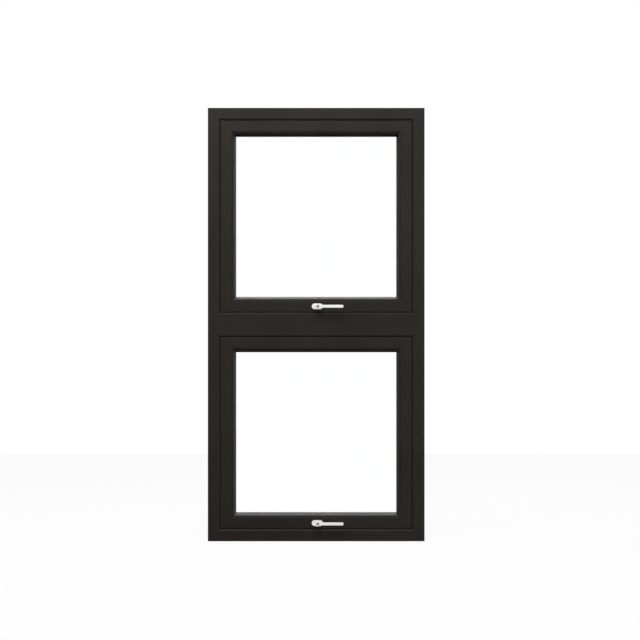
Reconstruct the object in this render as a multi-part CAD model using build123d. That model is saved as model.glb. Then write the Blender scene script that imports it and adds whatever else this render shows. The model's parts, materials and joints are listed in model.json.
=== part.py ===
from build123d import *
import math
import os

# Top hung window with two outward opening lights in one aluminium frame.
# Millimetres, +Z up, +X to the right seen from the room, +Y outdoors.
# The origin is the middle of the sill's underside, half way through the frame's depth.
# Sections are drawn with u, from the outer edge of a light towards the glass,
# and v, from the frame's room side face towards the outdoors.

# Overall size
WINDOW_WIDTH = 600.0
WINDOW_HEIGHT = 1200.0
FRAME_DEPTH = 50.0

# Frame extrusion
FRAME_WEB = 10.0
FRAME_FACE = 30.0
FRAME_WALL = 1.8
FACE_WALL = 2.5
PORT_RADIUS = 3.8
PORT_RIB = 1.5
PORT_INSET = 14.0
EDGE_ROUND = 0.5
NOSE_WIDTH = 4.0
NOSE_DEPTH = 4.0
NOSE_ROUND = 1.5

# Seal on the frame's rebate flange
SEAL_WIDTH = 4.4
SEAL_RIB = 1.2
SEAL_RIB_HEIGHT = 2.0
SEAL_CLEARANCE = 0.5
SEAL_FIT = 0.1

# Sash extrusion
SASH_GAP = 5.0
SASH_FACE = 31.0
SASH_ROUND = 1.0
SASH_WALL = 1.8
SASH_SETBACK = 2.0
STEP_DEPTH = 9.0
OUTER_FLANGE = 2.0
OUTER_LAP = 6.6

# Glazing
GLAZING_REBATE = 11.0
GLASS_THICKNESS = 6.0
GLASS_EDGE_GAP = 4.0
GASKET_EDGE_GAP = 0.5
OUTER_GASKET = 3.0
INNER_GASKET = 3.7
BEAD_WALL = 1.3
BEAD_SETBACK = 5.5
BEAD_NOSE = 5.5
BEAD_ROUND = 4.0
BEAD_LAND = 3.4
BEAD_LIP = 0.5
CLIP_RIB = 1.2
CLIP_HEIGHT = 2.0
CLIP_FIT = 0.15
BLOCK_LENGTH = 60.0
BLOCK_INSET = 115.0
BLOCK_SIDE_GAP = 0.5

# Corner cleats
CLEAT_FIT = 0.3
FRAME_CLEAT_LEG = 55.0
SASH_CLEAT_LEG = 60.0
SASH_CLEAT_WIDTH = 20.0
CLEAT_WEB = 2.5

# Friction stays: pivot to pivot length of the arm, and of the bar down to the arm
STAY_LINK = 90.0
STAY_DEPTH = 28.0
STAY_WIDTH = 16.0
STAY_TOP_INSET = 24.0
STAY_PLAY = 0.3
ARM_THICKNESS = 2.5
BAR_THICKNESS = 2.5
BAR_TAIL = 36.0
PIVOT_RADIUS = 3.0
PIVOT_FIT = 0.05
PIVOT_SHORT = 0.1
WASHER_RADIUS = 6.0
TRACK_HEIGHT = 5.0
TRACK_WIDTH = 20.0
TRACK_SHEET = 1.5
TRACK_LIP = 2.5
TRACK_END = 12.0
TRACK_SCREW_SHARES = (0.2, 0.35, 0.5)
BAR_SCREW_SHARES = (0.3, 0.75)
TAIL_SCREW_SHARE = 0.6
SHOE_LENGTH = 24.0
SHOE_FIT = 0.1
SHOE_COLLAR_RADIUS = 6.0

# Handle, measured from the middle of the window and the sash's room side face
HANDLE_X = 3.0
ROSE_LENGTH = 31.0
ROSE_HEIGHT = 16.0
ROSE_DEPTH = 7.0
ROSE_WALL = 1.2
ROSE_ROUND = 1.0
BASE_DEPTH = 4.5
BASE_FIT = 0.2
NECK_RADIUS = 6.5
NECK_FIT = 0.1
BOSS_RADIUS = 7.0
BOSS_FILLET = 2.5
LEVER_REACH = 72.0
LEVER_STANDOFF = 28.0
LEVER_HEIGHT = 8.0
LEVER_THICKNESS = 8.0
LEVER_END_ROUND = 2.0
LEVER_ROUND = 1.5
CAP_OFFSET = 1.5
CAP_RADIUS = 4.0
CAP_DEPTH = 0.8
LEVER_RING_INSET = 11.0
LEVER_RING_WIDTH = 0.8
LEVER_RING_DEPTH = 0.4
SPINDLE_SQUARE = 7.0
SPINDLE_FIT = 0.05
SPINDLE_HOLE_RADIUS = 6.0
SOCKET_END = 2.2

# Lock gear inside the bottom rail
GEAR_MODULE = 1.25
GEAR_TEETH = 16
PRESSURE_ANGLE = 20.0
TOOTH_ADDENDUM = 0.9
TOOTH_DEDENDUM = 1.2
TOOTH_BACKLASH = 0.12
GEAR_WIDTH = 8.0
GEAR_DEPTH = 14.0
HUB_RADIUS = 5.5
CASE_WALL = 1.5
CASE_PLAY = 0.5
CASE_HALF_LENGTH = 16.0
ROD_HALF_LENGTH = 150.0
ROD_BODY = 4.7
ROD_FIT = 0.1
RACK_TEETH = 9
RACK_LEFT_SHARE = 0.75
ROD_TAIL = 20.0
PIN_RADIUS = 3.0
PIN_HEAD_RADIUS = 5.0
PIN_HEAD = 3.0
PIN_CHAMFER = 0.75
PIN_CLEARANCE = 0.5
PIN_SLOT_PLAY = 1.0
KEEP_LENGTH = 12.0
KEEP_LIP = 3.0
KEEP_BASE = 1.5
KEEP_HEIGHT = 8.0
KEEP_GAP = 0.3
KEEP_WING = 14.0
KEEP_CHAMFER = 2.4

# Screws and openings
SCREW_RADIUS = 2.0
SCREW_FIT = 0.05
SCREW_HEAD_RADIUS = 3.6
SCREW_HEAD = 1.4
SCREW_GRIP = 8.0
SCREW_TAIL = 3.0
KEEP_SCREW_TAIL = 4.0
BASE_SCREW_HEAD_RADIUS = 2.7
BASE_SCREW_HEAD = 0.7
TRANSOM_SCREW_GRIP = 30.0
FIXING_HOLE_RADIUS = 3.25
FIXING_LOW = 120.0
FIXING_SPACING = 200.0
WEEP_LENGTH = 25.0
WEEP_WIDTH = 5.0
WEEP_INSET = 150.0

# How far a cut runs past the faces that it opens
CUT = 1.0

# Places worked out from the sizes above
LIGHT_HEIGHT = WINDOW_HEIGHT / 2
HALF_WIDTH = WINDOW_WIDTH / 2
SASH_SIDE = FRAME_WEB + TRACK_HEIGHT + ARM_THICKNESS + BAR_THICKNESS + 2 * STAY_PLAY
SASH_EDGE = FRAME_FACE + SASH_GAP
NOSE_TIP = FRAME_FACE + NOSE_WIDTH
PLATFORM = SASH_EDGE + SASH_FACE
DAYLIGHT = PLATFORM + GLAZING_REBATE
OUTER_EDGE = SASH_SIDE - OUTER_LAP
FLANGE_V = FRAME_DEPTH - OUTER_FLANGE
GLASS_OUT_V = FLANGE_V - OUTER_GASKET
GLASS_IN_V = GLASS_OUT_V - GLASS_THICKNESS
BEAD_BACK_V = GLASS_IN_V - INNER_GASKET
GLASS_EDGE = PLATFORM + GLASS_EDGE_GAP
ARM_U = FRAME_WEB + TRACK_HEIGHT + STAY_PLAY
BAR_U = ARM_U + ARM_THICKNESS + STAY_PLAY
HANDLE_U = SASH_EDGE + SASH_FACE / 2
GEAR_RADIUS = GEAR_MODULE * GEAR_TEETH / 2
TIP_RADIUS = GEAR_RADIUS + TOOTH_ADDENDUM * GEAR_MODULE
ROOT_RADIUS = GEAR_RADIUS - TOOTH_DEDENDUM * GEAR_MODULE
TOOTH_PITCH = math.pi * GEAR_MODULE
ROD_TOP_U = HANDLE_U - GEAR_RADIUS - TOOTH_DEDENDUM * GEAR_MODULE
ROD_LOW_U = ROD_TOP_U - ROD_BODY
ROD_TRAVEL = GEAR_RADIUS * math.pi / 2
PIN_SPACING = 2 * (ROD_HALF_LENGTH - ROD_TAIL)
PIN_FOOT = FRAME_WEB + KEEP_BASE + SCREW_HEAD + PIN_CLEARANCE
LEVER_BACK = SASH_SETBACK - LEVER_STANDOFF
LIGHT = (-HALF_WIDTH, 0.0, HALF_WIDTH, LIGHT_HEIGHT)
WHOLE = (-HALF_WIDTH, 0.0, HALF_WIDTH, WINDOW_HEIGHT)
SIDES = ("bottom", "right", "top", "left")


def depth(v):
    """The Y of a point at depth v behind the frame's room side face."""
    return v - FRAME_DEPTH / 2


def polygon(points):
    """A flat face inside a closed run of points."""
    return make_face(Polyline(*points, close=True))


def block(u0, u1, v0, v1):
    """A rectangle in a section, from its lowest to its highest u and v."""
    return Pos((u0 + u1) / 2, (v0 + v1) / 2) * Rectangle(u1 - u0, v1 - v0)


def solid_block(x0, x1, v0, v1, z0, z1):
    """A block between two X, two depths and two heights."""
    middle = ((x0 + x1) / 2, depth((v0 + v1) / 2), (z0 + z1) / 2)
    return Pos(*middle) * Box(x1 - x0, v1 - v0, z1 - z0)


def side_plane(rect, side):
    """The start of one side: local x runs towards the glass and local y outdoors."""
    x0, z0, x1, z1 = rect
    starts = {
        "bottom": ((x1, z0), (0, 0, 1)),
        "top": ((x0, z1), (0, 0, -1)),
        "left": ((x0, z0), (1, 0, 0)),
        "right": ((x1, z1), (-1, 0, 0)),
    }
    (x, z), inwards = starts[side]
    along = Vector(*inwards).cross(Vector(0, 1, 0))
    return Plane(origin=(x, depth(0), z), x_dir=inwards, z_dir=along)


def side_length(rect, side):
    """How long one side of a rectangle is."""
    x0, z0, x1, z1 = rect
    return x1 - x0 if side in ("bottom", "top") else z1 - z0


def mitre_wedge(rect, side):
    """The share of a rectangular frame that one mitred side fills."""
    x0, z0, x1, z1 = rect
    reach = min(x1 - x0, z1 - z0) / 2 - CUT
    corners = {
        "bottom": ((x0, z0), (x1, z0)),
        "right": ((x1, z0), (x1, z1)),
        "top": ((x1, z1), (x0, z1)),
        "left": ((x0, z1), (x0, z0)),
    }[side]
    middle_x = (x0 + x1) / 2
    middle_z = (z0 + z1) / 2
    inner = [
        (x + math.copysign(reach, middle_x - x), z + math.copysign(reach, middle_z - z))
        for x, z in corners
    ]
    outline = polygon([corners[0], corners[1], inner[1], inner[0]])
    return extrude(Plane.XZ * outline, amount=2 * FRAME_DEPTH, both=True)


def member(section, rect, side):
    """One mitred side of a rectangular frame with this section."""
    bar = extrude(side_plane(rect, side) * section, amount=side_length(rect, side))
    return bar & mitre_wedge(rect, side)


def ring(section, rect):
    """All four sides of a rectangular frame as one piece, with mitred corners."""
    whole = member(section, rect, SIDES[0])
    for side in SIDES[1:]:
        whole = whole + member(section, rect, side)
    return whole


def stadium(length, height):
    """A flat shape with two straight sides and two round ends."""
    return SlotOverall(length, height)


def pin_along_x(radius, x0, x1, v, z):
    """A round pin along X between two places."""
    plane = Plane(origin=(min(x0, x1), depth(v), z), x_dir=(0, 1, 0), z_dir=(1, 0, 0))
    return extrude(plane * Circle(radius), amount=abs(x1 - x0))


def pin_along_y(radius, x, v0, v1, z):
    """A round pin along Y between two depths."""
    plane = Plane(origin=(x, depth(v0), z), x_dir=(1, 0, 0), z_dir=(0, 1, 0))
    return extrude(plane * Circle(radius), amount=v1 - v0)


def pin_along_z(radius, x, v, z0, z1):
    """A round pin along Z between two heights."""
    return extrude(Plane.XY.offset(z0) * Pos(x, depth(v)) * Circle(radius), amount=z1 - z0)


def mirrored(shape):
    """The same piece on the other side of the window."""
    return mirror(shape, about=Plane.YZ)


def group(shapes):
    """Separate solids kept as one named node."""
    return Compound(children=[solid for shape in shapes for solid in shape.solids()])


def flange_points():
    """The flange with its sloped nose and two seal ribs, from its face to the box's back."""
    rib_top = FACE_WALL + SEAL_RIB_HEIGHT
    inner_rib = FRAME_FACE - SEAL_RIB - SEAL_WIDTH
    return [
        (FRAME_FACE, 0),
        (NOSE_TIP, NOSE_DEPTH),
        (NOSE_TIP, rib_top),
        (FRAME_FACE - SEAL_RIB, rib_top),
        (FRAME_FACE - SEAL_RIB, FACE_WALL),
        (inner_rib, FACE_WALL),
        (inner_rib, rib_top),
        (inner_rib - SEAL_RIB, rib_top),
        (inner_rib - SEAL_RIB, FACE_WALL),
        (FRAME_WEB, FACE_WALL),
        (FRAME_WEB, FRAME_DEPTH),
    ]


def rounded_at(section, points, radius):
    """A section with a round on the corners nearest to these points."""
    corners = [section.vertices().sort_by_distance((u, v, 0))[0] for u, v in points]
    return fillet(corners, radius)


def frame_section():
    """Head, sill and jamb: a hollow box with a rebate flange on the room side."""
    outline = polygon([(0, 0)] + flange_points() + [(0, FRAME_DEPTH)])
    outline = rounded_at(outline, [(FRAME_FACE, 0)], NOSE_ROUND)
    others = [(0, 0), (FRAME_WEB, FRAME_DEPTH), (0, FRAME_DEPTH)]
    outline = rounded_at(outline, others, EDGE_ROUND)
    chamber = block(FRAME_WALL, FRAME_WEB - FRAME_WALL, FACE_WALL, FRAME_DEPTH - FRAME_WALL)
    return outline - chamber


def transom_outline():
    """The outside of the transom's section: two frame outlines back to back."""
    upper = flange_points()
    lower = [(-u, v) for u, v in reversed(upper)]
    outline = rounded_at(polygon(upper + lower), [(FRAME_FACE, 0), (-FRAME_FACE, 0)], NOSE_ROUND)
    back = [(FRAME_WEB, FRAME_DEPTH), (-FRAME_WEB, FRAME_DEPTH)]
    return rounded_at(outline, back, EDGE_ROUND)


def transom_section():
    """The transom's section, with one chamber and two screw ports."""
    inner = FRAME_WEB - FRAME_WALL
    chamber = block(-inner, inner, FACE_WALL, FRAME_DEPTH - FRAME_WALL)
    for v in port_depths():
        rib = block(-inner - CUT, inner + CUT, v - PORT_RIB / 2, v + PORT_RIB / 2)
        chamber = chamber - rib - Pos(0, v) * Circle(PORT_RADIUS)
    section = transom_outline() - chamber
    for v in port_depths():
        section = section - Pos(0, v) * Circle(SCREW_RADIUS + SCREW_FIT)
    return section


def transom_run(section, x_low, x_high):
    """The transom's section run between two X."""
    plane = Plane(origin=(x_high, depth(0), LIGHT_HEIGHT), x_dir=(0, 0, 1), z_dir=(-1, 0, 0))
    return extrude(plane * section, amount=x_high - x_low)


def port_depths():
    """Where the transom's screw ports lie."""
    return (PORT_INSET, FRAME_DEPTH - PORT_INSET)


def sash_section():
    """Rail and stile: a stepped hollow section with an outer flange and two bead clips."""
    outline = polygon([
        (SASH_EDGE, SASH_SETBACK),
        (PLATFORM, SASH_SETBACK),
        (PLATFORM, FLANGE_V),
        (DAYLIGHT, FLANGE_V),
        (DAYLIGHT, FRAME_DEPTH),
        (OUTER_EDGE, FRAME_DEPTH),
        (OUTER_EDGE, FLANGE_V),
        (SASH_SIDE, FLANGE_V),
        (SASH_SIDE, STEP_DEPTH),
        (SASH_EDGE, STEP_DEPTH),
    ])
    room = [(SASH_EDGE, SASH_SETBACK), (PLATFORM, SASH_SETBACK)]
    outline = rounded_at(outline, room, SASH_ROUND)
    outdoors = [(DAYLIGHT, FRAME_DEPTH), (OUTER_EDGE, FRAME_DEPTH)]
    outline = rounded_at(outline, outdoors, EDGE_ROUND)
    for v in clip_depths():
        outline = outline + block(PLATFORM - SASH_WALL, PLATFORM + CLIP_HEIGHT, v, v + CLIP_RIB)
    chamber = polygon([
        (SASH_EDGE + SASH_WALL, SASH_SETBACK + SASH_WALL),
        (PLATFORM - SASH_WALL, SASH_SETBACK + SASH_WALL),
        (PLATFORM - SASH_WALL, FLANGE_V),
        (SASH_SIDE + SASH_WALL, FLANGE_V),
        (SASH_SIDE + SASH_WALL, STEP_DEPTH + SASH_WALL),
        (SASH_EDGE + SASH_WALL, STEP_DEPTH + SASH_WALL),
    ])
    return outline - chamber


def clip_depths():
    """Where the two ribs that hold a bead start, just inside the bead's legs."""
    inset = BEAD_WALL + CLIP_FIT
    return (BEAD_SETBACK + inset, BEAD_BACK_V - inset - CLIP_RIB)


def bead_section():
    """A snap-in bead: a rounded front, a long slope to the glass and two legs."""
    top = DAYLIGHT - BEAD_LIP
    nose = PLATFORM + BEAD_NOSE
    shoulder = BEAD_BACK_V - BEAD_LAND
    outer = polygon([
        (PLATFORM, BEAD_SETBACK),
        (nose, BEAD_SETBACK),
        (top, shoulder),
        (top, BEAD_BACK_V),
        (PLATFORM, BEAD_BACK_V),
    ])
    outer = rounded_at(outer, [(nose, BEAD_SETBACK)], BEAD_ROUND)
    slope = math.atan2(top - nose, shoulder - BEAD_SETBACK)
    across = BEAD_WALL / math.cos(slope)
    inner_v = BEAD_SETBACK + BEAD_WALL
    inner_back = BEAD_BACK_V - BEAD_WALL
    front_u = nose - across + BEAD_WALL * math.tan(slope)
    shoulder_v = shoulder + (across - BEAD_WALL) / math.tan(slope)
    inner = polygon([
        (PLATFORM - BEAD_WALL, inner_v),
        (front_u, inner_v),
        (top - BEAD_WALL, shoulder_v),
        (top - BEAD_WALL, inner_back),
        (PLATFORM - BEAD_WALL, inner_back),
    ])
    inner = rounded_at(inner, [(front_u, inner_v)], BEAD_ROUND - BEAD_WALL)
    return outer - inner


def seal_section():
    """A frame seal: a foot between the flange's ribs and a round bulb."""
    low_u = FRAME_FACE - SEAL_RIB - SEAL_WIDTH + SEAL_FIT
    high_u = FRAME_FACE - SEAL_RIB - SEAL_FIT
    middle = (low_u + high_u) / 2
    top = STEP_DEPTH - SEAL_CLEARANCE
    radius = (high_u - low_u) / 2
    foot = block(low_u, high_u, FACE_WALL, top - radius)
    bore = Pos(middle, top - radius) * Circle(radius / 2)
    return foot + Pos(middle, top - radius) * Circle(radius) - bore


def outer_gasket_section():
    """The wedge between the outer flange and the glass."""
    low_u = GLASS_EDGE + GASKET_EDGE_GAP
    return polygon([
        (low_u, GLASS_OUT_V),
        (DAYLIGHT, GLASS_OUT_V),
        (DAYLIGHT - GASKET_EDGE_GAP, FLANGE_V),
        (low_u, FLANGE_V),
    ])


def inner_gasket_section():
    """The wedge between the bead and the glass, with a lip at the daylight edge."""
    low_u = GLASS_EDGE + GASKET_EDGE_GAP
    return polygon([
        (low_u, BEAD_BACK_V),
        (DAYLIGHT - BEAD_LIP, BEAD_BACK_V),
        (DAYLIGHT, GLASS_IN_V),
        (low_u, GLASS_IN_V),
    ])


def fixing_heights():
    """The heights of a jamb's wall fixings: two beside each light, below its stay."""
    return [
        base + FIXING_LOW + step * FIXING_SPACING
        for base in (0.0, LIGHT_HEIGHT)
        for step in (0, 1)
    ]


def jamb(side):
    """A jamb with its holes, and its nose and seal ribs cut away where the transom meets it."""
    bar = member(frame_section(), WHOLE, side)
    sign = -1 if side == "left" else 1
    outside = sign * (HALF_WIDTH + CUT)
    cavity = sign * (HALF_WIDTH - FRAME_WEB - CUT)
    for z in fixing_heights():
        bar = bar - pin_along_x(FIXING_HOLE_RADIUS, outside, cavity, FRAME_DEPTH / 2, z)
    for v in port_depths():
        bar = bar - pin_along_x(SCREW_RADIUS + SCREW_FIT, outside, cavity, v, LIGHT_HEIGHT)
        hole = SCREW_HEAD_RADIUS + SCREW_FIT
        reach = sign * (HALF_WIDTH - FRAME_WEB + FRAME_WALL)
        bar = bar - pin_along_x(hole, outside, reach, v, LIGHT_HEIGHT)
    for base in (0.0, LIGHT_HEIGHT):
        for z in track_screw_heights():
            web = sign * (HALF_WIDTH - FRAME_WEB + FRAME_WALL + CUT)
            bar = bar - pin_along_x(SCREW_RADIUS + SCREW_FIT, web, cavity, STAY_DEPTH, base + z)
    rib_inner = FRAME_FACE - 2 * SEAL_RIB - SEAL_WIDTH
    past_nose = sign * (HALF_WIDTH - NOSE_TIP - CUT)
    x0, x1 = sorted((sign * (HALF_WIDTH - rib_inner), past_nose))
    rib_top = FACE_WALL + SEAL_RIB_HEIGHT + CUT
    low = LIGHT_HEIGHT - FRAME_FACE
    high = LIGHT_HEIGHT + FRAME_FACE
    bar = bar - solid_block(x0, x1, FACE_WALL, rib_top, low, high)
    x0, x1 = sorted((sign * (HALF_WIDTH - FRAME_FACE), past_nose))
    return bar - transom_run(transom_outline(), x0, x1)


def frame_rail(side):
    """The head, or the sill with the holes for its keeps' screws."""
    bar = member(frame_section(), WHOLE, side)
    if side == "bottom":
        for x in keep_screw_places():
            low = FRAME_WEB - FRAME_WALL - CUT
            high = FRAME_WEB + CUT
            bar = bar - pin_along_z(SCREW_RADIUS + SCREW_FIT, x, pin_depth(), low, high)
    return bar


def transom():
    """The transom between the jambs' webs, cut back round their flanges."""
    reach = HALF_WIDTH - FRAME_WEB
    bar = transom_run(transom_section(), -reach, reach)
    rib_top = FACE_WALL + SEAL_RIB_HEIGHT
    low = LIGHT_HEIGHT - NOSE_TIP - CUT
    high = LIGHT_HEIGHT + NOSE_TIP + CUT
    for sign in (-1, 1):
        tip = sign * (HALF_WIDTH - FRAME_FACE)
        end = sign * (HALF_WIDTH - FRAME_WEB + CUT)
        x0, x1 = sorted((tip, end))
        bar = bar - solid_block(x0, x1, -CUT, FACE_WALL, low, high)
        bar = bar - solid_block(x0, x1, -CUT, rib_top, low, LIGHT_HEIGHT - FRAME_WEB)
        bar = bar - solid_block(x0, x1, -CUT, rib_top, LIGHT_HEIGHT + FRAME_WEB, high)
    for x in keep_screw_places():
        low = LIGHT_HEIGHT + FRAME_WEB - FRAME_WALL - CUT
        high = LIGHT_HEIGHT + FRAME_WEB + CUT
        bar = bar - pin_along_z(SCREW_RADIUS + SCREW_FIT, x, pin_depth(), low, high)
    return bar


def cleat(rect, corner, u0, u1, v0, v1, leg):
    """One corner cleat: an L with a pocket in each leg."""
    x0, z0, x1, z1 = rect
    right, top = corner
    outline = polygon([(u0, u0), (leg, u0), (leg, u1), (u1, u1), (u1, leg), (u0, leg)])
    body = extrude(outline, amount=v1 - v0)
    pocket_v = (v1 - v0) - 2 * CLEAT_WEB
    pocket_length = leg - u1 - 2 * CLEAT_WEB
    middle = u1 + CLEAT_WEB + pocket_length / 2
    across = (u0 + u1) / 2
    centre_v = (v1 - v0) / 2
    body = body - Pos(middle, across, centre_v) * Box(pocket_length, 2 * (u1 - u0), pocket_v)
    body = body - Pos(across, middle, centre_v) * Box(2 * (u1 - u0), pocket_length, pocket_v)
    place = Plane(
        origin=(x1 if right else x0, depth(v0), z1 if top else z0),
        x_dir=(-1, 0, 0) if right else (1, 0, 0),
        z_dir=(0, 1, 0) if right != top else (0, -1, 0),
    )
    placed = place * body
    if right == top:
        placed = Pos(0, v1 - v0, 0) * placed
    return placed


def cleats(rect, u0, u1, v0, v1, leg):
    """The four corner cleats of one rectangular frame."""
    corners = [(False, False), (True, False), (True, True), (False, True)]
    return group([cleat(rect, corner, u0, u1, v0, v1, leg) for corner in corners])


def screw_x(x_face, direction, v, z, grip):
    """A pan head screw along X: its head sits on x_face and its shank runs on."""
    head = pin_along_x(SCREW_HEAD_RADIUS, x_face, x_face - direction * SCREW_HEAD, v, z)
    shank = pin_along_x(SCREW_RADIUS, x_face, x_face + direction * grip, v, z)
    return head + shank


def pivot_height():
    """The height in a light of the stay's sliding pivot, its middle pivot and its fixed one."""
    top = LIGHT_HEIGHT - STAY_TOP_INSET
    return top, top - STAY_LINK, top - 2 * STAY_LINK


def track_screw_heights():
    """Track screws lie between the shoe's travel and the fixed pivot."""
    sliding, _, fixed = pivot_height()
    span = sliding - fixed
    return [fixed + span * share for share in TRACK_SCREW_SHARES]


def stay_track():
    """The left track: a lipped channel on the jamb with the arm's fixed pivot near its foot."""
    sliding, _, fixed = pivot_height()
    low = fixed - TRACK_END
    high = sliding + SHOE_LENGTH / 2 - TRACK_SHEET
    half = TRACK_WIDTH / 2
    top = FRAME_WEB + TRACK_HEIGHT
    outer = block(FRAME_WEB, top, STAY_DEPTH - half, STAY_DEPTH + half)
    inner_half = half - TRACK_SHEET
    roof = top - TRACK_SHEET / 2
    hollow = block(FRAME_WEB + TRACK_SHEET, roof, STAY_DEPTH - inner_half, STAY_DEPTH + inner_half)
    mouth_half = inner_half - TRACK_LIP
    mouth = block(roof - CUT, top + CUT, STAY_DEPTH - mouth_half, STAY_DEPTH + mouth_half)
    plane = Plane(origin=(-HALF_WIDTH, depth(0), low), x_dir=(1, 0, 0), z_dir=(0, 0, 1))
    channel = extrude(plane * (outer - hollow - mouth), amount=high - low)
    x_base = -HALF_WIDTH + FRAME_WEB + TRACK_SHEET / 2
    x_top = -HALF_WIDTH + top
    seat = solid_block(
        x_base, x_top,
        STAY_DEPTH - mouth_half, STAY_DEPTH + mouth_half,
        fixed - WASHER_RADIUS, fixed + WASHER_RADIUS,
    )
    x_pin = -HALF_WIDTH + ARM_U + ARM_THICKNESS - PIVOT_SHORT
    pin = pin_along_x(PIVOT_RADIUS, x_base, x_pin, STAY_DEPTH, fixed)
    washer = pin_along_x(WASHER_RADIUS, x_base, x_top + STAY_PLAY / 2, STAY_DEPTH, fixed)
    track = channel + seat + pin + washer
    for z in track_screw_heights():
        x0 = -HALF_WIDTH + FRAME_WEB - CUT
        x1 = -HALF_WIDTH + FRAME_WEB + TRACK_SHEET + CUT
        track = track - pin_along_x(SCREW_RADIUS + SCREW_FIT, x0, x1, STAY_DEPTH, z)
    return track


def link_plate(x0, x1, z0, z1, holes):
    """A stay plate with round ends from z0 to z1, and pivot holes at these heights."""
    length = z1 - z0 + STAY_WIDTH
    plane = Plane(
        origin=(-HALF_WIDTH + x0, depth(STAY_DEPTH), (z0 + z1) / 2),
        x_dir=(0, 0, 1),
        z_dir=(1, 0, 0),
    )
    plate = extrude(plane * stadium(length, STAY_WIDTH), amount=x1 - x0)
    for z in holes:
        drill = pin_along_x(
            PIVOT_RADIUS + PIVOT_FIT, -HALF_WIDTH + x0 - CUT, -HALF_WIDTH + x1 + CUT, STAY_DEPTH, z
        )
        plate = plate - drill
    return plate


def stay_arm():
    """The left support arm, from the fixed pivot up to the middle pivot."""
    _, middle, fixed = pivot_height()
    return link_plate(ARM_U, ARM_U + ARM_THICKNESS, fixed, middle, [fixed, middle])


def bar_screw_heights():
    """The three countersunk screws of a bar, clear of its pivots."""
    sliding, middle, _ = pivot_height()
    upper = [sliding - STAY_LINK * share for share in BAR_SCREW_SHARES]
    return upper + [middle - BAR_TAIL * TAIL_SCREW_SHARE]


def countersunk(x_face, z, radius_extra):
    """A countersunk screw, or with radius_extra its hole, along +X from the bar's face."""
    head_depth = SCREW_HEAD_RADIUS - SCREW_RADIUS
    plane = Plane(
        origin=(x_face, depth(STAY_DEPTH), z), x_dir=(0, 1, 0), z_dir=(1, 0, 0)
    )
    profile = polygon([
        (0, 0),
        (SCREW_HEAD_RADIUS + radius_extra, 0),
        (SCREW_RADIUS + radius_extra, head_depth),
        (SCREW_RADIUS + radius_extra, SCREW_GRIP),
        (0, SCREW_GRIP),
    ])
    turned = revolve(Plane.XZ * profile, axis=Axis.Z)
    return plane * turned


def stay_bar():
    """The left bar on the stile, with the middle pivot's pin and the hole for the shoe's pin."""
    sliding, middle, _ = pivot_height()
    plate = link_plate(BAR_U, SASH_SIDE, middle - BAR_TAIL + STAY_WIDTH / 2, sliding, [sliding])
    x_face = -HALF_WIDTH + BAR_U
    for z in bar_screw_heights():
        plate = plate - countersunk(x_face, z, SCREW_FIT)
    x_end = -HALF_WIDTH + ARM_U + PIVOT_SHORT
    return plate + pin_along_x(PIVOT_RADIUS, x_end, x_face + BAR_THICKNESS / 2, STAY_DEPTH, middle)


def stay_shoe():
    """The left shoe: a slider in the track with a collar and a pin for the bar."""
    sliding, _, _ = pivot_height()
    half = TRACK_WIDTH / 2 - TRACK_SHEET - SHOE_FIT
    mouth_half = TRACK_WIDTH / 2 - TRACK_SHEET - TRACK_LIP - SHOE_FIT
    x_low = -HALF_WIDTH + FRAME_WEB + TRACK_SHEET + SHOE_FIT
    x_roof = -HALF_WIDTH + FRAME_WEB + TRACK_HEIGHT - TRACK_SHEET / 2 - SHOE_FIT
    x_top = -HALF_WIDTH + FRAME_WEB + TRACK_HEIGHT
    z0 = sliding - SHOE_LENGTH / 2
    z1 = sliding + SHOE_LENGTH / 2
    slider = solid_block(x_low, x_roof, STAY_DEPTH - half, STAY_DEPTH + half, z0, z1)
    neck = solid_block(x_low, x_top, STAY_DEPTH - mouth_half, STAY_DEPTH + mouth_half, z0, z1)
    x_collar = -HALF_WIDTH + BAR_U - STAY_PLAY / 2
    collar = pin_along_x(SHOE_COLLAR_RADIUS, x_roof, x_collar, STAY_DEPTH, sliding)
    x_pin = -HALF_WIDTH + SASH_SIDE - PIVOT_SHORT
    return slider + neck + collar + pin_along_x(PIVOT_RADIUS, x_roof, x_pin, STAY_DEPTH, sliding)


def pin_depth():
    """The depth of the lock rod's middle, and so of its pins."""
    return GEAR_DEPTH + GEAR_WIDTH / 2


def keep_screw_places():
    """The X of each keep's two screws."""
    spread = KEEP_LENGTH / 2 + KEEP_WING / 2
    return [
        side * PIN_SPACING / 2 + offset
        for side in (-1, 1)
        for offset in (-spread, spread)
    ]


def lock_keep(x):
    """A keep on the sill: a base plate and a lip on the outdoor side of the pin."""
    half = KEEP_LENGTH / 2
    v_pin = pin_depth()
    v_lip = v_pin + PIN_HEAD_RADIUS + KEEP_GAP
    v_low = v_pin - PIN_HEAD_RADIUS
    low = FRAME_WEB
    base = solid_block(
        x - half - KEEP_WING, x + half + KEEP_WING, v_low, v_lip + KEEP_LIP, low, low + KEEP_BASE
    )
    lip = solid_block(x - half, x + half, v_lip, v_lip + KEEP_LIP, low, low + KEEP_HEIGHT)
    keep = base + lip
    corners = keep.edges().filter_by(Axis.Y).group_by(Axis.Z)[-1]
    keep = chamfer(corners, KEEP_CHAMFER)
    for offset in (-1, 1):
        place = x + offset * (half + KEEP_WING / 2)
        keep = keep - pin_along_z(
            SCREW_RADIUS + SCREW_FIT, place, v_pin, low - CUT, low + KEEP_BASE + CUT
        )
    return keep


def keep_screws():
    """The keeps' screws, each with its head on a keep's base plate."""
    face = FRAME_WEB + KEEP_BASE
    screws = []
    for x in keep_screw_places():
        head = pin_along_z(SCREW_HEAD_RADIUS, x, pin_depth(), face, face + SCREW_HEAD)
        low = FRAME_WEB - FRAME_WALL - KEEP_SCREW_TAIL
        shank = pin_along_z(SCREW_RADIUS, x, pin_depth(), low, face)
        screws.append(head + shank)
    return screws


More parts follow.
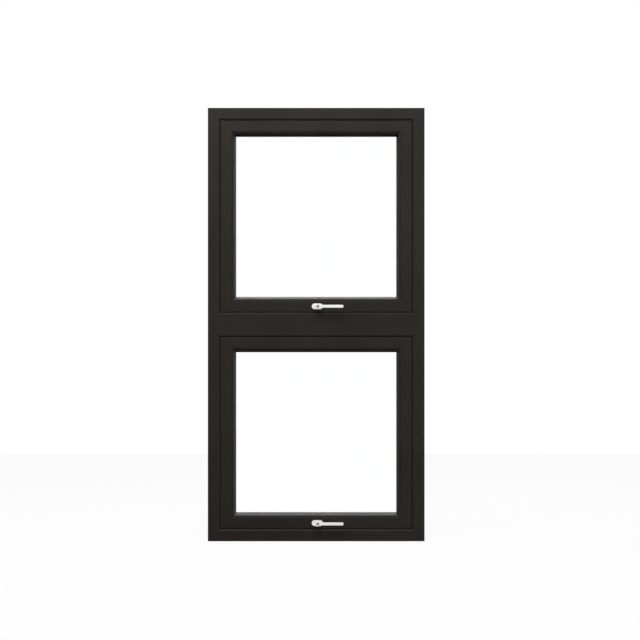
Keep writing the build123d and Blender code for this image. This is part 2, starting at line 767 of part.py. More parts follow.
def tooth_half_angle(radius, at_pitch):
    """Half the angle that an involute tooth fills at this radius."""
    pressure = math.radians(PRESSURE_ANGLE)
    base_radius = GEAR_RADIUS * math.cos(pressure)
    here = math.acos(min(1.0, base_radius / radius))
    involute = math.tan(here) - here
    involute_at_pitch = math.tan(pressure) - pressure
    return at_pitch + involute_at_pitch - involute


def pinion_outline():
    """The pinion's outline, with one tooth of the rack's pitch pointing straight down."""
    at_pitch = (TOOTH_PITCH / 2 - TOOTH_BACKLASH) / GEAR_RADIUS / 2
    base_radius = GEAR_RADIUS * math.cos(math.radians(PRESSURE_ANGLE))
    steps = [max(base_radius, ROOT_RADIUS), GEAR_RADIUS, TIP_RADIUS]
    points = []
    for tooth in range(GEAR_TEETH):
        centre = -math.pi / 2 + tooth * 2 * math.pi / GEAR_TEETH
        rise = [(ROOT_RADIUS, tooth_half_angle(steps[0], at_pitch))]
        rise += [(radius, tooth_half_angle(radius, at_pitch)) for radius in steps]
        for radius, angle in rise:
            points.append((radius * math.cos(centre - angle), radius * math.sin(centre - angle)))
        for radius, angle in reversed(rise):
            points.append((radius * math.cos(centre + angle), radius * math.sin(centre + angle)))
    return polygon(points)


def handle_plane(v):
    """A plane across the spindle at depth v, its local y up and its normal to the room."""
    return Plane(origin=(HANDLE_X, depth(v), HANDLE_U), x_dir=(1, 0, 0), z_dir=(0, -1, 0))


def spindle_pinion():
    """The square spindle with the pinion and its two hubs."""
    gear_end = GEAR_DEPTH + GEAR_WIDTH
    gear = extrude(handle_plane(gear_end) * pinion_outline(), amount=GEAR_WIDTH)
    hub_room = GEAR_DEPTH - CASE_WALL - ROD_FIT
    hub_out = gear_end + CASE_WALL + ROD_FIT
    hub = extrude(handle_plane(hub_out) * Circle(HUB_RADIUS), amount=hub_out - hub_room)
    square_end = LEVER_BACK + SOCKET_END
    square = extrude(
        handle_plane(hub_room) * Rectangle(SPINDLE_SQUARE, SPINDLE_SQUARE),
        amount=hub_room - square_end,
    )
    return gear + hub + square


def rack_tooth(x):
    """One rack tooth with straight flanks, standing on the rod towards the pinion."""
    slope = math.tan(math.radians(PRESSURE_ANGLE))
    half_at_pitch = (TOOTH_PITCH / 2 - TOOTH_BACKLASH) / 2
    root = half_at_pitch + TOOTH_DEDENDUM * GEAR_MODULE * slope
    tip = half_at_pitch - TOOTH_ADDENDUM * GEAR_MODULE * slope
    pitch_line = -GEAR_RADIUS
    low = pitch_line - TOOTH_DEDENDUM * GEAR_MODULE
    high = pitch_line + TOOTH_ADDENDUM * GEAR_MODULE
    outline = polygon([(x - root, low), (x + root, low), (x + tip, high), (x - tip, high)])
    return extrude(handle_plane(GEAR_DEPTH + GEAR_WIDTH) * outline, amount=GEAR_WIDTH)


def rack_tooth_places():
    """Rack teeth lie half a pitch from the pinion's middle tooth, on the side that meets it."""
    first = TOOTH_PITCH / 2 - math.ceil(RACK_TEETH * RACK_LEFT_SHARE) * TOOTH_PITCH
    return [first + n * TOOTH_PITCH for n in range(RACK_TEETH)]


def lock_rod():
    """The lock rod: a flat bar with rack teeth and two mushroom pins."""
    gear_end = GEAR_DEPTH + GEAR_WIDTH
    bar = solid_block(
        -ROD_HALF_LENGTH, ROD_HALF_LENGTH, GEAR_DEPTH, gear_end, ROD_LOW_U, ROD_TOP_U
    )
    rod = bar
    for x in rack_tooth_places():
        rod = rod + rack_tooth(x)
    for x in (-PIN_SPACING / 2, PIN_SPACING / 2):
        rod = rod + pin_along_z(PIN_RADIUS, x, pin_depth(), PIN_FOOT, ROD_LOW_U)
        head = pin_along_z(PIN_HEAD_RADIUS, x, pin_depth(), PIN_FOOT, PIN_FOOT + PIN_HEAD)
        rod = rod + chamfer(head.edges().group_by(Axis.Z)[0], PIN_CHAMFER)
    return rod


def gearbox():
    """The case round the pinion, with a way through for the rod and two bearing holes."""
    gear_end = GEAR_DEPTH + GEAR_WIDTH
    bore = TIP_RADIUS + CASE_PLAY
    top = HANDLE_U + bore + CASE_WALL
    low = ROD_LOW_U - ROD_FIT - CASE_WALL
    v0 = GEAR_DEPTH - CASE_WALL - ROD_FIT
    v1 = gear_end + CASE_WALL + ROD_FIT
    half = CASE_HALF_LENGTH
    case = solid_block(HANDLE_X - half, HANDLE_X + half, v0, v1, low, top)
    inside = (GEAR_DEPTH - ROD_FIT, gear_end + ROD_FIT)
    case = case - pin_along_y(bore, HANDLE_X, inside[0], inside[1], HANDLE_U)
    way_top = HANDLE_U - GEAR_RADIUS + TOOTH_ADDENDUM * GEAR_MODULE + CASE_PLAY
    past = half + CUT
    way_low = ROD_LOW_U - ROD_FIT
    case = case - solid_block(
        HANDLE_X - past, HANDLE_X + past, inside[0], inside[1], way_low, way_top
    )
    return case - pin_along_y(HUB_RADIUS + PIVOT_FIT, HANDLE_X, v0 - CUT, v1 + CUT, HANDLE_U)


def handle_screw_places():
    """The X of the two screws of a handle's base, either side of the spindle."""
    place = (ROSE_LENGTH / 2 - ROSE_WALL - SPINDLE_HOLE_RADIUS) / 2 + SPINDLE_HOLE_RADIUS
    return (HANDLE_X - place, HANDLE_X + place)


def handle_base():
    """The base plate under the rose, with the spindle's hole and two screw holes."""
    inset = 2 * (ROSE_WALL + BASE_FIT)
    plate = extrude(
        handle_plane(SASH_SETBACK) * stadium(ROSE_LENGTH - inset, ROSE_HEIGHT - inset),
        amount=BASE_DEPTH,
    )
    start = SASH_SETBACK - BASE_DEPTH - CUT
    end = SASH_SETBACK + CUT
    plate = plate - pin_along_y(NECK_RADIUS - ROSE_WALL, HANDLE_X, start, end, HANDLE_U)
    for x in handle_screw_places():
        plate = plate - pin_along_y(SCREW_RADIUS + SCREW_FIT, x, start, end, HANDLE_U)
    return plate


def handle_rose():
    """The oval rose: a cover over the base plate, with a hole for the lever's neck."""
    outer = extrude(
        handle_plane(SASH_SETBACK) * stadium(ROSE_LENGTH, ROSE_HEIGHT), amount=ROSE_DEPTH
    )
    outer = fillet(outer.faces().sort_by(Axis.Y)[0].edges(), ROSE_ROUND)
    inset = 2 * ROSE_WALL
    hollow = extrude(
        handle_plane(SASH_SETBACK) * stadium(ROSE_LENGTH - inset, ROSE_HEIGHT - inset),
        amount=ROSE_DEPTH - ROSE_WALL,
    )
    front = SASH_SETBACK - ROSE_DEPTH - CUT
    hole = pin_along_y(NECK_RADIUS + NECK_FIT, HANDLE_X, front, SASH_SETBACK, HANDLE_U)
    return outer - hollow - hole


def lever_outline():
    """The lever's front view: a boss over the neck and a straight arm, nearly square at its end."""
    arm = Pos(LEVER_REACH / 2, 0) * Rectangle(LEVER_REACH, LEVER_HEIGHT)
    arm = fillet(arm.vertices().group_by(Axis.X)[-1], LEVER_END_ROUND)
    half = LEVER_HEIGHT / 2
    meets = math.sqrt(BOSS_RADIUS ** 2 - half ** 2)
    return rounded_at(arm + Circle(BOSS_RADIUS), [(meets, half), (meets, -half)], BOSS_FILLET)


def handle_lever():
    """The lever: a round neck on the spindle, and an arm to the right with a cap's recess."""
    arm = extrude(handle_plane(LEVER_BACK) * lever_outline(), amount=LEVER_THICKNESS)
    arm = fillet(arm.faces().filter_by(Axis.Y).edges(), LEVER_ROUND)
    neck_end = SASH_SETBACK - BASE_DEPTH - BASE_FIT
    middle = LEVER_BACK - LEVER_THICKNESS / 2
    lever = arm + pin_along_y(NECK_RADIUS, HANDLE_X, middle, neck_end, HANDLE_U)
    front = LEVER_BACK - LEVER_THICKNESS
    cap_x = HANDLE_X + CAP_OFFSET
    recess = pin_along_y(CAP_RADIUS, cap_x, front - CUT, front + CAP_DEPTH, HANDLE_U)
    ring_x = HANDLE_X + LEVER_REACH - LEVER_RING_INSET
    groove = solid_block(
        ring_x, ring_x + LEVER_RING_WIDTH,
        front - CUT, front + LEVER_RING_DEPTH,
        HANDLE_U - LEVER_HEIGHT, HANDLE_U + LEVER_HEIGHT,
    )
    side = SPINDLE_SQUARE + 2 * SPINDLE_FIT
    start = neck_end + CUT
    socket = extrude(
        handle_plane(start) * Rectangle(side, side),
        amount=start - LEVER_BACK - SOCKET_END + SPINDLE_FIT,
    )
    return lever - recess - groove - socket


def sash_member(side):
    """One rail or stile, with the holes that its own fittings need."""
    bar = member(sash_section(), LIGHT, side)
    if side == "bottom":
        bar = bar - bottom_rail_holes()
    if side in ("left", "right"):
        sign = -1 if side == "left" else 1
        outside = sign * (HALF_WIDTH - SASH_SIDE + CUT)
        inside = sign * (HALF_WIDTH - SASH_SIDE - SASH_WALL - CUT)
        for z in bar_screw_heights():
            bar = bar - pin_along_x(SCREW_RADIUS + SCREW_FIT, outside, inside, STAY_DEPTH, z)
    return bar


def bottom_rail_holes():
    """Spindle and screw holes, slots for the lock pins, and weep slots below the glass."""
    room = SASH_SETBACK - CUT
    wall_end = SASH_SETBACK + SASH_WALL + CUT
    through = SASH_WALL + 2 * CUT
    cuts = [pin_along_y(SPINDLE_HOLE_RADIUS, HANDLE_X, room, wall_end, HANDLE_U)]
    for x in handle_screw_places():
        cuts.append(pin_along_y(SCREW_RADIUS + SCREW_FIT, x, room, wall_end, HANDLE_U))
    slot_length = ROD_TRAVEL + 2 * (PIN_RADIUS + PIN_SLOT_PLAY)
    slot_width = 2 * (PIN_RADIUS + PIN_SLOT_PLAY)
    low = Plane.XY.offset(SASH_SIDE - CUT)
    for x in (-PIN_SPACING / 2, PIN_SPACING / 2):
        slot = Pos(x + ROD_TRAVEL / 2, depth(pin_depth())) * stadium(slot_length, slot_width)
        cuts.append(extrude(low * slot, amount=through))
    weep_v = (GLASS_OUT_V + FLANGE_V) / 2
    for x in (-WEEP_INSET, WEEP_INSET):
        for u in (SASH_SIDE, PLATFORM - SASH_WALL):
            slot = Pos(x, depth(weep_v - WEEP_WIDTH / 2)) * stadium(WEEP_LENGTH, WEEP_WIDTH)
            cuts.append(extrude(Plane.XY.offset(u - CUT) * slot, amount=through))
    return cuts


def glass():
    """The pane."""
    edge = HALF_WIDTH - GLASS_EDGE
    return solid_block(
        -edge, edge, GLASS_IN_V, GLASS_OUT_V, GLASS_EDGE, LIGHT_HEIGHT - GLASS_EDGE
    )


def setting_blocks():
    """Blocks between the glass's edges and the sash, two on each side."""
    v0 = GLASS_IN_V
    v1 = GLASS_OUT_V
    half = BLOCK_LENGTH / 2
    blocks = []
    middle = LIGHT_HEIGHT / 2
    for offset in (-BLOCK_INSET, BLOCK_INSET):
        blocks.append(solid_block(offset - half, offset + half, v0, v1, PLATFORM, GLASS_EDGE))
        top = LIGHT_HEIGHT - PLATFORM
        gap_low = LIGHT_HEIGHT - GLASS_EDGE + BLOCK_SIDE_GAP
        blocks.append(solid_block(offset - half, offset + half, v0, v1, gap_low, top))
        z0 = middle + offset - half
        z1 = middle + offset + half
        for sign in (-1, 1):
            near = sign * (HALF_WIDTH - GLASS_EDGE + BLOCK_SIDE_GAP)
            x0, x1 = sorted((near, sign * (HALF_WIDTH - PLATFORM)))
            blocks.append(solid_block(x0, x1, v0, v1, z0, z1))
    return group(blocks)


def sash_screws():
    """The bars' screws on both stiles and the handle base's two screws."""
    screws = []
    for z in bar_screw_heights():
        left = countersunk(-HALF_WIDTH + BAR_U, z, 0)
        screws += [left, mirrored(left)]
    face = SASH_SETBACK - BASE_DEPTH
    end = GEAR_DEPTH - CASE_WALL - ROD_FIT - CASE_PLAY
    for x in handle_screw_places():
        head = pin_along_y(BASE_SCREW_HEAD_RADIUS, x, face - BASE_SCREW_HEAD, face, HANDLE_U)
        screws.append(head + pin_along_y(SCREW_RADIUS, x, face, end, HANDLE_U))
    return group(screws)


def frame_screws():
    """Screws that hold the transom, the tracks and the keeps."""
    screws = []
    for v in port_depths():
        x_face = -HALF_WIDTH + FRAME_WEB - FRAME_WALL
        left = screw_x(x_face, 1, v, LIGHT_HEIGHT, TRANSOM_SCREW_GRIP)
        screws += [left, mirrored(left)]
    for base in (0.0, LIGHT_HEIGHT):
        for z in track_screw_heights():
            x_face = -HALF_WIDTH + FRAME_WEB + TRACK_SHEET
            grip = TRACK_SHEET + FRAME_WALL + SCREW_TAIL
            left = screw_x(x_face, -1, STAY_DEPTH, base + z, grip)
            screws += [left, mirrored(left)]
        screws += [Pos(0, 0, base) * screw for screw in keep_screws()]
    return group(screws)


def frame_nodes():
    """Every node of the fixed frame."""
    seals = ring(seal_section(), LIGHT)
    track = stay_track()
    keeps = [lock_keep(x) for x in (-PIN_SPACING / 2, PIN_SPACING / 2)]
    both = (0.0, LIGHT_HEIGHT)
    chamber_low = FRAME_WALL + CLEAT_FIT
    chamber_high = FRAME_WEB - FRAME_WALL - CLEAT_FIT
    v0 = FACE_WALL + CLEAT_FIT
    v1 = FRAME_DEPTH - FRAME_WALL - CLEAT_FIT
    return {
        "frame_head": frame_rail("top"),
        "frame_sill": frame_rail("bottom"),
        "frame_jamb_left": jamb("left"),
        "frame_jamb_right": jamb("right"),
        "transom": transom(),
        "frame_corner_cleats": cleats(
            WHOLE, chamber_low, chamber_high, v0, v1, FRAME_CLEAT_LEG
        ),
        "frame_seals": group([Pos(0, 0, base) * seals for base in both]),
        "stay_tracks": group([
            Pos(0, 0, base) * piece for base in both for piece in (track, mirrored(track))
        ]),
        "lock_keeps": group([Pos(0, 0, base) * keep for base in both for keep in keeps]),
        "frame_screws": frame_screws(),
    }


def sash_cleats():
    """The sash's corner cleats, drilled for the bars' screws that reach them."""
    low = SASH_SIDE + SASH_WALL + CLEAT_FIT
    v0 = STEP_DEPTH + SASH_WALL + CLEAT_FIT
    v1 = FLANGE_V - CLEAT_FIT
    blank = cleats(LIGHT, low, low + SASH_CLEAT_WIDTH, v0, v1, low + SASH_CLEAT_LEG)
    radius = SCREW_RADIUS + SCREW_FIT
    holes = [
        pin_along_x(radius, -HALF_WIDTH, HALF_WIDTH, STAY_DEPTH, z) for z in bar_screw_heights()
    ]
    return group([solid - holes for solid in blank.solids()])


def sash_nodes():
    """Every node of one sash with its stays, handle and lock, placed in the lower light."""
    names = {"bottom": "bottom_rail", "top": "top_rail", "left": "stile_left", "right": "stile_right"}
    nodes = {names[side]: sash_member(side) for side in SIDES}
    bead = bead_section()
    for side in SIDES:
        nodes["bead_" + side] = member(bead, LIGHT, side)
    nodes["corner_cleats"] = sash_cleats()
    bar = stay_bar()
    arm = stay_arm()
    shoe = stay_shoe()
    nodes["glass"] = glass()
    nodes["outer_gasket"] = ring(outer_gasket_section(), LIGHT)
    nodes["inner_gasket"] = ring(inner_gasket_section(), LIGHT)
    nodes["setting_blocks"] = setting_blocks()
    nodes["sash_screws"] = sash_screws()
    nodes["stay_bars"] = group([bar, mirrored(bar)])
    nodes["stay_arm_left"] = arm
    nodes["stay_arm_right"] = mirrored(arm)
    nodes["stay_shoe_left"] = shoe
    nodes["stay_shoe_right"] = mirrored(shoe)
    nodes["gearbox"] = gearbox()
    nodes["lock_rod"] = lock_rod()
    nodes["spindle_pinion"] = spindle_pinion()
    nodes["handle_base"] = handle_base()
    nodes["handle_rose"] = handle_rose()
    nodes["handle_lever"] = handle_lever()
    return nodes


def write_parts():
    """Write one STEP file per node."""
    os.makedirs("parts", exist_ok=True)
    for name, shape in frame_nodes().items():
        export_step(shape, f"parts/{name}.step")
    lights = {"lower": 0.0, "upper": LIGHT_HEIGHT}
    for name, shape in sash_nodes().items():
        for light, base in lights.items():
            export_step(Pos(0, 0, base) * shape, f"parts/{light}_{name}.step")


write_parts()
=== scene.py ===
import json
import math

import bmesh
import bpy
from mathutils import Matrix, Vector

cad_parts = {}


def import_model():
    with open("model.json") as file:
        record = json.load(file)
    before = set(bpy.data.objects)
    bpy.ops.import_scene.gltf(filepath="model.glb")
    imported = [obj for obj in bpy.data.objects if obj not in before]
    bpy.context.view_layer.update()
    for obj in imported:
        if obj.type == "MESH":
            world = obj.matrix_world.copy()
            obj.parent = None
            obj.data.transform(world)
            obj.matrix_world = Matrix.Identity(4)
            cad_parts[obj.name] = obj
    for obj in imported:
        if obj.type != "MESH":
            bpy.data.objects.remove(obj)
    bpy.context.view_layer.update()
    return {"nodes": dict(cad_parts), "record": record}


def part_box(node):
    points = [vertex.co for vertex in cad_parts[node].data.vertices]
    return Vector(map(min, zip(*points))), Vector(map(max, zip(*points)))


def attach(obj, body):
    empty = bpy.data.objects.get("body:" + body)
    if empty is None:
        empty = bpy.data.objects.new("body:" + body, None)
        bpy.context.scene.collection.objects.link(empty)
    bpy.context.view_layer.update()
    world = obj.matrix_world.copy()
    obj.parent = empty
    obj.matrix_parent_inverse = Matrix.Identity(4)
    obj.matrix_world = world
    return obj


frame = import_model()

# Camera, from the photograph: the frame's room face is 216.7 pixels wide in a 640 pixel image
IMAGE_PIXELS = 640
FACE_PIXELS = 216.7
CAMERA_DISTANCE = 7.0
CAMERA_RIGHT = 0.0105
CAMERA_UP = 0.0127
SENSOR = 36.0
CLIP_END = 100.0

# The cap in each lever's boss, and the raised bar across it
BOSS_RADIUS = 0.007
CAP_OFFSET = 0.0015
CAP_RADIUS = 0.0039
CAP_DEPTH = 0.0006
CAP_EDGE = 0.0002
CAP_EDGE_STEPS = 3
CAP_SIDES = 64
CAP_SUNK = 0.0002
CAP_BAR = (0.0009, 0.0003, 0.0034)

# The cap's faces from this area up are shaded flat
CAP_FLAT_AREA = CAP_RADIUS ** 2 / 4

# How strongly the bronze coat's fleck shows over its broad clouds
FLECK_SHARE = 0.7

# Studio lamps: name, place with its height above the window's top, the share of the window's
# height that it aims at, watts, side
LAMPS = (
    ("key", (-0.5, -2.3, 1.6), 0.75, 60.0, 1.4),
    ("fill", (1.6, -3.0, -0.48), 0.5, 10.0, 2.4),
    ("sky", (0.4, 2.2, 1.7), 0.5, 25.0, 2.2),
)

# The floor, and how much of it shows plain white to the camera
FLOOR_SIZE = 9.0
FLOOR_GREY = 0.86
FLOOR_GLOW = 0.92

# Greys of the world: behind the window, through its glass, in diffuse light, beside it in gloss
BACKDROP = 1.0
BEHIND_GLASS = 1.08
AMBIENT = 0.42
SIDE_GLOW = 0.55

# A ray of less gloss depth than this has not been mirrored
FIRST_MIRRORING = 0.5

# What gloss mirrors, as stops along one part of its direction, from -1 to 1
ROOM_HEIGHT = ((-0.42, 0.01), (0.0, 0.09), (0.42, 0.12), (1.0, 1.0))
OUTDOOR_HEIGHT = ((-0.25, 0.02), (0.0, 0.3), (0.3, 0.9))
OUTDOOR_ACROSS = ((-0.3, 0.45), (0.0, 0.62), (0.3, 1.0))
OUTDOOR_SHARE = ((-0.25, 0.0), (0.35, 1.0))
SIDE_SHARE = ((-0.95, 1.0), (-0.6, 0.0), (0.6, 0.0), (0.95, 1.0))

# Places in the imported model
FRONT_Y = min(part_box("frame_jamb_left")[0].y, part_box("frame_jamb_right")[0].y)
FACE_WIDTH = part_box("frame_jamb_right")[1].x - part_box("frame_jamb_left")[0].x
WINDOW_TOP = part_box("frame_head")[1].z


def as_colour(value):
    """A colour with alpha, from a grey or from three parts."""
    if isinstance(value, (int, float)):
        return (value, value, value, 1.0)
    return (*value, 1.0)


def add_object(name, data):
    """A new object in the scene."""
    made = bpy.data.objects.new(name, data)
    bpy.context.scene.collection.objects.link(made)
    return made


class Tree:
    """The node tree of a material or a world, with short calls to add to it."""

    def __init__(self, owner):
        owner.use_nodes = True
        self.tree = owner.node_tree

    def new(self, kind, **settings):
        """A node with these settings."""
        node = self.tree.nodes.new(kind)
        for key, value in settings.items():
            setattr(node, key, value)
        return node

    def link(self, start, end):
        """A link between two sockets."""
        self.tree.links.new(start, end)

    def feed(self, value, socket):
        """A link from another socket, or a plain value on this one."""
        if isinstance(value, bpy.types.NodeSocket):
            self.link(value, socket)
        else:
            socket.default_value = value

    def combine(self, operation, *values):
        """The result of a math node."""
        node = self.new("ShaderNodeMath", operation=operation)
        for value, socket in zip(values, node.inputs):
            self.feed(value, socket)
        return node.outputs["Value"]


class Finish(Tree):
    """A material, with short calls for what the materials share."""

    def __init__(self, name):
        self.material = bpy.data.materials.new(name)
        super().__init__(self.material)
        self.shader = self.tree.nodes["Principled BSDF"]
        self.coordinates = self.new("ShaderNodeTexCoord")

    def placed(self, stretch):
        """The object's own coordinates in metres, times a scale for each axis."""
        mapping = self.new("ShaderNodeMapping")
        mapping.inputs["Scale"].default_value = stretch
        self.link(self.coordinates.outputs["Object"], mapping.inputs["Vector"])
        return mapping.outputs["Vector"]

    def noise(self, scale, detail=3.0, stretch=(1, 1, 1)):
        """Soft noise with about this many cells per metre."""
        noise = self.new("ShaderNodeTexNoise")
        noise.inputs["Scale"].default_value = scale
        noise.inputs["Detail"].default_value = detail
        self.link(self.placed(stretch), noise.inputs["Vector"])
        return noise.outputs["Fac"]

    def cells(self, scale):
        """The distance from the middle of the nearest of about this many cells per metre."""
        cells = self.new("ShaderNodeTexVoronoi")
        cells.inputs["Scale"].default_value = scale
        self.link(self.placed((1, 1, 1)), cells.inputs["Vector"])
        return cells.outputs["Distance"]

    def ramp(self, factor, low, high, start=0.3, end=0.7):
        """A ramp from one grey or colour to another."""
        ramp = self.new("ShaderNodeValToRGB")
        first, last = ramp.color_ramp.elements
        first.position = start
        first.color = as_colour(low)
        last.position = end
        last.color = as_colour(high)
        self.link(factor, ramp.inputs["Fac"])
        return ramp.outputs["Color"]

    def colour(self, factor, low, high, start=0.3, end=0.7):
        """Varies the base colour between two colours."""
        self.link(self.ramp(factor, low, high, start, end), self.shader.inputs["Base Color"])

    def roughness(self, factor, low, high):
        """Varies the roughness between two values."""
        self.link(self.ramp(factor, low, high), self.shader.inputs["Roughness"])

    def bump(self, height, depth, strength):
        """Bumps of this depth in metres."""
        bump = self.new("ShaderNodeBump")
        bump.inputs["Strength"].default_value = strength
        bump.inputs["Distance"].default_value = depth
        self.link(height, bump.inputs["Height"])
        self.link(bump.outputs["Normal"], self.shader.inputs["Normal"])

    def set(self, **values):
        """Uniform values on the shader's own sockets."""
        for key, value in values.items():
            self.shader.inputs[key.replace("_", " ")].default_value = value


def bronze_coat():
    """Dark bronze powder coat: fine orange peel and a faint fleck."""
    made = Finish("dark_bronze_powder_coat")
    fleck = made.noise(5200, detail=2)
    clouds = made.noise(7, detail=2)
    mixed = made.combine("MULTIPLY_ADD", fleck, FLECK_SHARE, clouds)
    made.colour(mixed, (0.0150, 0.0118, 0.0090), (0.0205, 0.0165, 0.0130), start=0.55, end=1.0)
    made.roughness(made.noise(900), 0.36, 0.46)
    made.bump(made.noise(1500, detail=2), depth=0.00002, strength=0.25)
    made.set(Specular_IOR_Level=0.28)
    return made.material


def clear_glass():
    """Clear float glass with the faintest waviness."""
    made = Finish("clear_float_glass")
    made.set(Base_Color=as_colour((0.992, 0.998, 0.995)), Transmission_Weight=1.0)
    made.set(Roughness=0.0, IOR=1.5, Specular_IOR_Level=0.35)
    made.bump(made.noise(9, detail=1), depth=0.00002, strength=0.2)
    return made.material


def gasket_rubber():
    """Black gasket rubber, matt and slightly mottled."""
    made = Finish("gasket_rubber")
    made.colour(made.noise(300), (0.010, 0.010, 0.011), (0.024, 0.023, 0.023))
    made.roughness(made.noise(1400), 0.55, 0.75)
    made.bump(made.noise(3000), depth=0.00003, strength=0.5)
    return made.material


def white_coat():
    """Satin white powder coat of the handles."""
    made = Finish("handle_white_coat")
    made.colour(made.noise(160), (0.83, 0.83, 0.82), (0.88, 0.88, 0.87))
    made.roughness(made.noise(1200), 0.24, 0.34)
    made.bump(made.noise(2200, detail=2), depth=0.00001, strength=0.15)
    return made.material


def cap_grey():
    """The grey of the cap sunk in the front of each lever's boss."""
    made = Finish("lever_cap_grey")
    made.colour(made.noise(700), (0.20, 0.20, 0.195), (0.26, 0.26, 0.255))
    made.roughness(made.noise(2000), 0.4, 0.55)
    made.set(Metallic=0.15)
    return made.material


def brushed_steel():
    """Stainless steel with the grain of its rolling along Z."""
    made = Finish("brushed_stainless")
    grain = made.noise(2600, detail=4, stretch=(1, 1, 0.02))
    made.colour(grain, (0.46, 0.46, 0.455), (0.60, 0.60, 0.59))
    made.roughness(grain, 0.24, 0.42)
    made.bump(grain, depth=0.00002, strength=0.4)
    made.set(Metallic=1.0)
    return made.material


def zinc_plate():
    """Zinc plating with a soft spangle."""
    made = Finish("zinc_plate")
    made.colour(made.cells(420), (0.36, 0.37, 0.38), (0.47, 0.48, 0.49), start=0.1, end=0.8)
    made.roughness(made.noise(800), 0.38, 0.52)
    made.bump(made.noise(1500), depth=0.00002, strength=0.4)
    made.set(Metallic=0.9)
    return made.material


def mill_aluminium():
    """Bare aluminium of the corner cleats."""
    made = Finish("mill_aluminium")
    lines = made.noise(1800, detail=3, stretch=(1, 0.03, 1))
    made.colour(lines, (0.60, 0.60, 0.61), (0.72, 0.72, 0.73))
    made.roughness(lines, 0.3, 0.5)
    made.bump(lines, depth=0.00003, strength=0.4)
    made.set(Metallic=1.0)
    return made.material


def black_plastic(name, low, high):
    """Black plastic with a fine grain."""
    made = Finish(name)
    made.colour(made.noise(500), low, high)
    made.roughness(made.noise(1500), 0.42, 0.6)
    made.bump(made.noise(2500), depth=0.00003, strength=0.4)
    return made.material


def pale_floor():
    """A pale matt floor that shows nearly white to the camera, and dims in the shadow."""
    made = Finish("pale_floor")
    made.set(Base_Color=as_colour(FLOOR_GREY), Roughness=0.9)
    made.bump(made.noise(60), depth=0.0002, strength=0.1)
    path = made.new("ShaderNodeLightPath").outputs
    glow = made.new("ShaderNodeEmission")
    mix = made.new("ShaderNodeMixShader")
    share, matt, white = mix.inputs
    made.link(made.combine("MULTIPLY", path["Is Camera Ray"], FLOOR_GLOW), share)
    made.link(made.shader.outputs["BSDF"], matt)
    made.link(glow.outputs["Emission"], white)
    made.link(mix.outputs["Shader"], made.tree.nodes["Material Output"].inputs["Surface"])
    return made.material


def dress():
    """Gives every carried-over node the material of its slot."""
    shoes = black_plastic("shoe_acetal", (0.012, 0.012, 0.012), (0.024, 0.024, 0.025))
    blocks = black_plastic("setting_block", (0.02, 0.02, 0.021), (0.035, 0.035, 0.036))
    slots = {
        "bronze": bronze_coat(),
        "clear_glass": clear_glass(),
        "black_rubber": gasket_rubber(),
        "handle_white": white_coat(),
        "stainless": brushed_steel(),
        "zinc": zinc_plate(),
        "raw_aluminium": mill_aluminium(),
        "shoe_plastic": shoes,
        "block_plastic": blocks,
    }
    for row in frame["record"]["subparts"]:
        node = frame["nodes"][row["node"]]
        if not node.material_slots:
            node.data.materials.append(None)
        for place in node.material_slots:
            place.material = slots[row["material_slot"]]
        if row["material_slot"] == "clear_glass":
            node.visible_shadow = False


def cap_mesh(name, middle):
    """A round cap with a soft front edge and a raised bar across it, facing the room."""
    shape = bmesh.new()
    bmesh.ops.create_cone(
        shape,
        cap_ends=True,
        segments=CAP_SIDES,
        radius1=CAP_RADIUS,
        radius2=CAP_RADIUS,
        depth=CAP_DEPTH,
    )
    front = max(shape.faces, key=lambda face: face.calc_center_median().z)
    bmesh.ops.bevel(
        shape, geom=front.edges[:], offset=CAP_EDGE, segments=CAP_EDGE_STEPS, affect="EDGES"
    )
    turned = Matrix.Translation(middle + Vector((0, CAP_DEPTH / 2, 0)))
    turned = turned @ Matrix.Rotation(math.pi / 2, 4, "X")
    bmesh.ops.transform(shape, matrix=turned, verts=shape.verts)
    bar = bmesh.ops.create_cube(shape, size=1.0)["verts"]
    bmesh.ops.scale(shape, vec=CAP_BAR, verts=bar)
    bmesh.ops.translate(shape, vec=middle, verts=bar)
    mesh = bpy.data.meshes.new(name)
    shape.to_mesh(mesh)
    shape.free()
    for polygon in mesh.polygons:
        polygon.use_smooth = polygon.area < CAP_FLAT_AREA
    return mesh


def lever_caps():
    """A grey cap in the recess at the front of each lever's boss."""
    material = cap_grey()
    for light in ("upper", "lower"):
        low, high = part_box(light + "_handle_lever")
        across = low.x + BOSS_RADIUS + CAP_OFFSET
        middle = Vector((across, low.y + CAP_SUNK, (low.z + high.z) / 2))
        mesh = cap_mesh(light + "_lever_cap", middle)
        mesh.materials.append(material)
        cap = add_object(light + "_lever_cap", mesh)
        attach(cap, light + "_handle")


def lamps():
    """A key light high in front, a weak fill, and soft sky light from above outdoors."""
    for name, (right, out, above), aim, watts, side in LAMPS:
        data = bpy.data.lights.new(name, "AREA")
        data.energy = watts
        data.size = side
        lamp = add_object(name, data)
        lamp.location = (right, out, WINDOW_TOP + above)
        ahead = Vector((0, 0, WINDOW_TOP * aim)) - lamp.location
        lamp.rotation_euler = ahead.to_track_quat("-Z", "Y").to_euler()


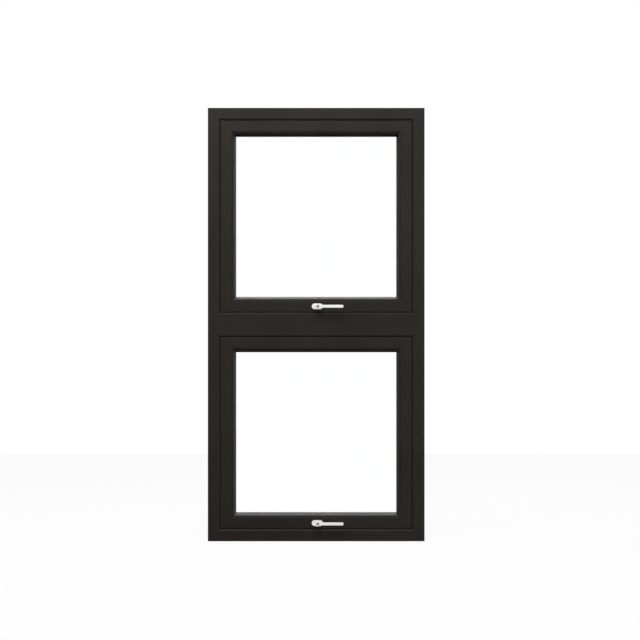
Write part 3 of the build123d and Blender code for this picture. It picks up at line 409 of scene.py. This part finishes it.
class Sky(Tree):
    """A world, with short calls for greys that follow a ray's direction."""

    def __init__(self, name):
        self.world = bpy.data.worlds.new(name)
        super().__init__(self.world)
        self.tree.nodes.clear()
        self.direction = self.new("ShaderNodeSeparateXYZ")
        place = self.new("ShaderNodeTexCoord")
        self.link(place.outputs["Generated"], self.direction.inputs["Vector"])

    def graded(self, axis, stops):
        """A grey that follows one part of the direction through these stops."""
        share = self.new("ShaderNodeMapRange")
        share.inputs["From Min"].default_value = -1.0
        self.link(self.direction.outputs[axis], share.inputs["Value"])
        ramp = self.new("ShaderNodeValToRGB")
        elements = ramp.color_ramp.elements
        for element, (at, grey) in zip(elements[:], (stops[0], stops[-1])):
            element.position = (at + 1) / 2
            element.color = as_colour(grey)
        for at, grey in stops[1:-1]:
            elements.new((at + 1) / 2).color = as_colour(grey)
        self.link(share.outputs["Result"], ramp.inputs["Fac"])
        return ramp.outputs["Color"]

    def choose(self, factor, low, high):
        """One of two greys by a factor."""
        mix = self.new("ShaderNodeMix", data_type="RGBA")
        self.feed(factor, mix.inputs["Factor"])
        for value, socket in ((low, "A"), (high, "B")):
            if isinstance(value, float):
                value = as_colour(value)
            self.feed(value, mix.inputs[socket])
        return mix.outputs["Result"]


def world():
    """White behind the window and through its glass, graded for gloss, and a soft ambient."""
    sky = Sky("studio")
    path = sky.new("ShaderNodeLightPath").outputs
    room = sky.graded("Z", ROOM_HEIGHT)
    outdoors = sky.graded("Z", OUTDOOR_HEIGHT)
    outdoors = sky.combine("MULTIPLY", outdoors, sky.graded("X", OUTDOOR_ACROSS))
    gloss = sky.choose(sky.graded("Y", OUTDOOR_SHARE), room, outdoors)
    gloss = sky.choose(sky.graded("X", SIDE_SHARE), gloss, SIDE_GLOW)
    unmirrored = sky.combine("LESS_THAN", path["Glossy Depth"], FIRST_MIRRORING)
    through_glass = sky.combine("MULTIPLY", path["Is Transmission Ray"], unmirrored)

    light = sky.choose(path["Is Glossy Ray"], AMBIENT, gloss)
    light = sky.choose(through_glass, light, BEHIND_GLASS)
    light = sky.choose(path["Is Camera Ray"], light, BACKDROP)
    background = sky.new("ShaderNodeBackground")
    output = sky.new("ShaderNodeOutputWorld")
    sky.link(light, background.inputs["Color"])
    sky.link(background.outputs["Background"], output.inputs["Surface"])
    bpy.context.scene.world = sky.world


def floor():
    """The floor under the window, which gloss and glass don't show."""
    mesh = bpy.data.meshes.new("floor")
    half = FLOOR_SIZE / 2
    corners = [(-half, -half, 0), (half, -half, 0), (half, half, 0), (-half, half, 0)]
    mesh.from_pydata(corners, [], [(0, 1, 2, 3)])
    mesh.materials.append(pale_floor())
    plane = add_object("floor", mesh)
    plane.visible_glossy = False
    plane.visible_transmission = False


def camera():
    """The camera of the photograph, level and square to the window."""
    data = bpy.data.cameras.new("camera")
    data.sensor_width = SENSOR
    seen_width = FACE_WIDTH * IMAGE_PIXELS / FACE_PIXELS
    data.lens = SENSOR * CAMERA_DISTANCE / seen_width
    data.clip_end = CLIP_END
    made = add_object("camera", data)
    made.location = (CAMERA_RIGHT, FRONT_Y - CAMERA_DISTANCE, WINDOW_TOP / 2 + CAMERA_UP)
    made.rotation_euler = (math.pi / 2, 0, 0)
    bpy.context.scene.camera = made


bpy.context.scene.view_settings.view_transform = "Standard"
camera()
dress()
lever_caps()
lamps()
world()
floor()
